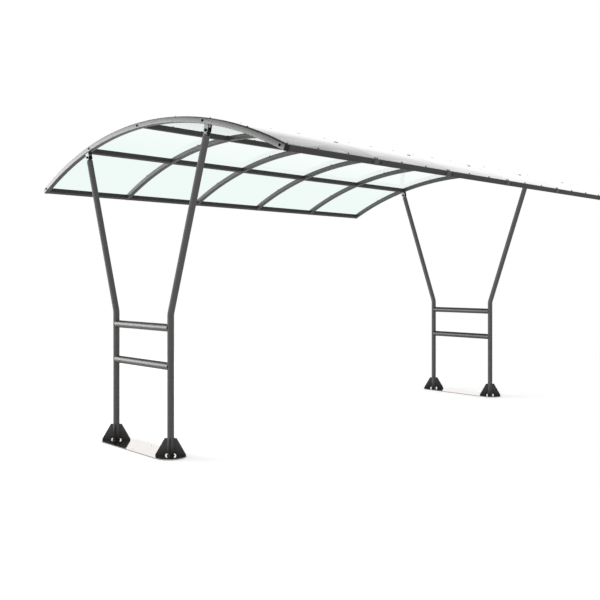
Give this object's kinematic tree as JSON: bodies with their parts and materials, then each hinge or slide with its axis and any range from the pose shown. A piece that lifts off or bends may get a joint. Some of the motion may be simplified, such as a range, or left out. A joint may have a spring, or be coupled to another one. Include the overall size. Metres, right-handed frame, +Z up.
{
  "type": "bike shelter",
  "caption": "Open bike shelter: an arched clear roof on bent square tubes, carried at both ends by pairs of leaning round posts on long base plates.",
  "frame": {"origin": "on the ground under the middle of the roof", "axes": "+X along the shelter, -Y its front as the picture shows it, +Z up"},
  "size_m": [5.44, 4.0106, 3.0513],
  "materials": {
    "frame_paint": "anthracite grey powder coat, satin",
    "bright_steel": "bright zinc-plated steel",
    "roof_sheet": "clear polycarbonate with a pale green tint",
    "end_cap": "dark moulded plastic"
  },
  "bodies": {
    "root": {"back_edge_rail": "frame_paint", "back_purlin": "frame_paint", "back_rib_end_caps": "end_cap", "crown_purlin": "frame_paint", "front_edge_rail": "frame_paint", "front_purlin": "frame_paint", "front_rib_end_caps": "end_cap", "left_back_arch_fork": "bright_steel", "left_back_foot_fins": "frame_paint", "left_back_post": "frame_paint", "left_back_post_tongue": "bright_steel", "left_base_plate": "bright_steel", "left_end_arch": "frame_paint", "left_front_arch_fork": "bright_steel", "left_front_foot_fins": "frame_paint", "left_front_post": "frame_paint", "left_front_post_tongue": "bright_steel", "left_lower_rail": "frame_paint", "left_upper_rail": "frame_paint", "rib_1": "frame_paint", "rib_2": "frame_paint", "rib_3": "frame_paint", "rib_4": "frame_paint", "right_back_arch_fork": "bright_steel", "right_back_foot_fins": "frame_paint", "right_back_post": "frame_paint", "right_back_post_tongue": "bright_steel", "right_base_plate": "bright_steel", "right_end_arch": "frame_paint", "right_front_arch_fork": "bright_steel", "right_front_foot_fins": "frame_paint", "right_front_post": "frame_paint", "right_front_post_tongue": "bright_steel", "right_lower_rail": "frame_paint", "right_upper_rail": "frame_paint", "roof_sheet_1": "roof_sheet", "roof_sheet_2": "roof_sheet", "roof_sheet_3": "roof_sheet", "roof_sheet_4": "roof_sheet", "roof_sheet_5": "roof_sheet"}
  },
  "joints": []
}
